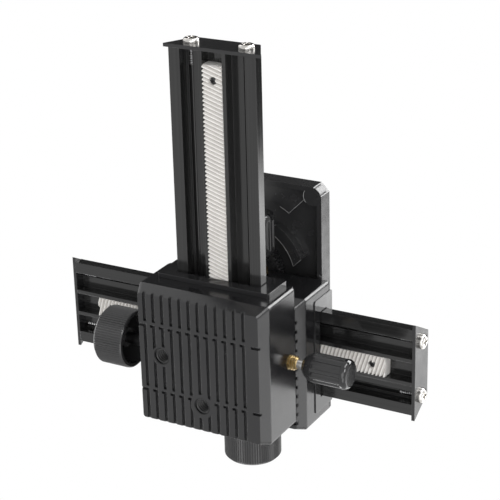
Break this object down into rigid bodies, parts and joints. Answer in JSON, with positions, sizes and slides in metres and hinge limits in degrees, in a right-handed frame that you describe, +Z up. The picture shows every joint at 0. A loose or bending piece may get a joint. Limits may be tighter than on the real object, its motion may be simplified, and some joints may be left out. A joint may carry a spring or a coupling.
{
  "type": "macro focusing rail",
  "caption": "Two-axis geared slide stage for close-up photography: ribbed base block, crossed dovetail rails with racks, focusing and locking knobs, and a camera platform.",
  "frame": {"origin": "centre of the ribbed base face of the lower block, in the plane of its ribs", "axes": "+Z up from the ribbed base to the camera platform, +Y along the lower rail toward its longer overhang, +X toward the lower focusing knob, along the upper rail"},
  "size_m": [0.1688, 0.187, 0.0738],
  "materials": {
    "lower_block": "glossy",
    "lower_guide": "glossy",
    "lower_guide_screws": "plated",
    "lower_rail": "black anodised",
    "lower_rack": "satin",
    "lower_rack_screws": "blackened",
    "lower_end_plate_far": "satin",
    "lower_end_plate_near": "satin",
    "lower_end_screws_far": "polished",
    "lower_end_screws_near": "polished",
    "lower_pinion": "machined",
    "lower_focus_shaft": "ground",
    "lower_shaft_clip": "spring temper",
    "lower_shaft_bush": "machined",
    "lower_focus_knob": "glossy",
    "lower_lock_knob": "glossy",
    "lower_lock_screw": "plated",
    "lower_lock_bush": "machined",
    "lower_brake_shoe": "moulded",
    "upper_block": "glossy",
    "upper_guide": "glossy",
    "upper_guide_screws": "plated",
    "upper_rail": "black anodised",
    "upper_rack": "satin",
    "upper_rack_screws": "blackened",
    "upper_end_plate_far": "satin",
    "upper_end_plate_near": "satin",
    "upper_end_screws_far": "polished",
    "upper_end_screws_near": "polished",
    "upper_pinion": "machined",
    "upper_focus_shaft": "ground",
    "upper_shaft_clip": "spring temper",
    "upper_shaft_bush": "machined",
    "upper_focus_knob": "glossy",
    "upper_lock_knob": "glossy",
    "upper_lock_screw": "plated",
    "upper_lock_bush": "machined",
    "upper_brake_shoe": "moulded",
    "block_screws": "blackened",
    "plate_screws": "blackened",
    "camera_plate": "glossy",
    "camera_pad": "matt",
    "thumbwheel": "textured",
    "camera_screw": "plated"
  },
  "bodies": {
    "base": {"lower_block": "lower_block", "lower_guide": "lower_guide", "lower_guide_screws": "lower_guide_screws", "lower_shaft_bush": "lower_shaft_bush", "lower_lock_bush": "lower_lock_bush", "lower_brake_shoe": "lower_brake_shoe"},
    "lower_slide": {"lower_rail": "lower_rail", "lower_rack": "lower_rack", "lower_rack_screws": "lower_rack_screws", "lower_end_plate_far": "lower_end_plate_far", "lower_end_plate_near": "lower_end_plate_near", "lower_end_screws_far": "lower_end_screws_far", "lower_end_screws_near": "lower_end_screws_near", "block_screws": "block_screws", "upper_block": "upper_block", "upper_guide": "upper_guide", "upper_guide_screws": "upper_guide_screws", "upper_shaft_bush": "upper_shaft_bush", "upper_lock_bush": "upper_lock_bush", "upper_brake_shoe": "upper_brake_shoe"},
    "upper_slide": {"upper_rail": "upper_rail", "upper_rack": "upper_rack", "upper_rack_screws": "upper_rack_screws", "upper_end_plate_far": "upper_end_plate_far", "upper_end_plate_near": "upper_end_plate_near", "upper_end_screws_far": "upper_end_screws_far", "upper_end_screws_near": "upper_end_screws_near", "plate_screws": "plate_screws", "camera_plate": "camera_plate", "camera_pad": "camera_pad"},
    "lower_focus": {"lower_focus_knob": "lower_focus_knob", "lower_focus_shaft": "lower_focus_shaft", "lower_pinion": "lower_pinion", "lower_shaft_clip": "lower_shaft_clip"},
    "upper_focus": {"upper_focus_knob": "upper_focus_knob", "upper_focus_shaft": "upper_focus_shaft", "upper_pinion": "upper_pinion", "upper_shaft_clip": "upper_shaft_clip"},
    "lower_lock": {"lower_lock_knob": "lower_lock_knob", "lower_lock_screw": "lower_lock_screw"},
    "upper_lock": {"upper_lock_knob": "upper_lock_knob", "upper_lock_screw": "upper_lock_screw"},
    "camera_fixing": {"camera_screw": "camera_screw", "thumbwheel": "thumbwheel"}
  },
  "joints": [
    {"name": "lower_rail_slide", "type": "slide", "parent": "base", "child": "lower_slide", "axis": [0, 1, 0], "range_m": [-0.092, 0.005]},
    {"name": "upper_rail_slide", "type": "slide", "parent": "lower_slide", "child": "upper_slide", "axis": [1, 0, 0], "range_m": [-0.0585, 0.0385]},
    {"name": "lower_focus_turn", "type": "hinge", "parent": "base", "child": "lower_focus", "pos_m": [0.0447, 0, 0.01233], "axis": [1, 0, 0], "range_deg": [-50, 892]},
    {"name": "upper_focus_turn", "type": "hinge", "parent": "lower_slide", "child": "upper_focus", "pos_m": [0, -0.0527, 0.04213], "axis": [0, 1, 0], "range_deg": [-568, 374]},
    {"name": "lower_lock_turn", "type": "hinge", "parent": "base", "child": "lower_lock", "pos_m": [-0.0463, -0.0005, 0.022], "axis": [-1, 0, 0], "range_deg": [-360, 150]},
    {"name": "upper_lock_turn", "type": "hinge", "parent": "lower_slide", "child": "upper_lock", "pos_m": [-0.0005, 0.0383, 0.0518], "axis": [0, 1, 0], "range_deg": [-360, 150]},
    {"name": "camera_screw_turn", "type": "hinge", "parent": "upper_slide", "child": "camera_fixing", "pos_m": [0.01, 0.017, 0.0671], "axis": [0, 0, 1], "continuous": true}
  ],
  "couplings": [
    {"joint": "lower_focus_turn", "follows": "lower_rail_slide", "rad_per_m": -168.99},
    {"joint": "upper_focus_turn", "follows": "upper_rail_slide", "rad_per_m": 168.99}
  ]
}
